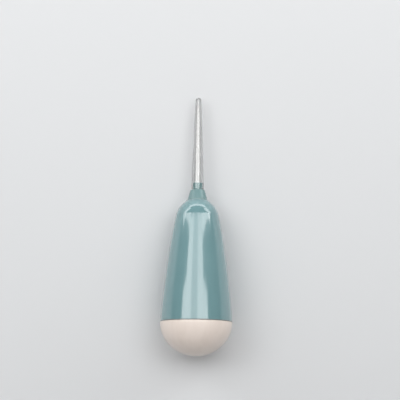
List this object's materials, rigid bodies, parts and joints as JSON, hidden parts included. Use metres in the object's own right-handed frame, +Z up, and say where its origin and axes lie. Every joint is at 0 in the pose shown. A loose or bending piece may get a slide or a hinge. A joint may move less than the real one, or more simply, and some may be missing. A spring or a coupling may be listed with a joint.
{
  "type": "craft awl",
  "caption": "Craft awl: a pear-shaped moulded handle with a rounded palm dome, a tapered steel needle on a small nose cone, and a clear pull-off point protector.",
  "frame": {"origin": "on the bench that the awl lies on, midway along and across its box", "axes": "+Y along the awl from the dome to the needle's tip, whose axis dips 5.7 degrees; +Z up from the bench; +X across"},
  "size_m": [0.0362, 0.1286, 0.0362],
  "materials": {
    "handle_mint": "smooth glossy mint moulding",
    "nose_mint": "smooth satin mint moulding",
    "dome_cream": "smooth satin cream moulding",
    "needle_steel": "fine-ground satin steel",
    "protector_clear": "clear, polished"
  },
  "bodies": {
    "awl": {"handle_shell": "handle_mint", "needle_holder": "nose_mint", "palm_dome": "dome_cream", "needle": "needle_steel"},
    "protector": {"point_protector": "protector_clear"}
  },
  "joints": [
    {"name": "protector_pull", "type": "slide", "parent": "awl", "child": "protector", "axis": [0, 0.9951, -0.0993], "range_m": [0, 0.055]}
  ]
}
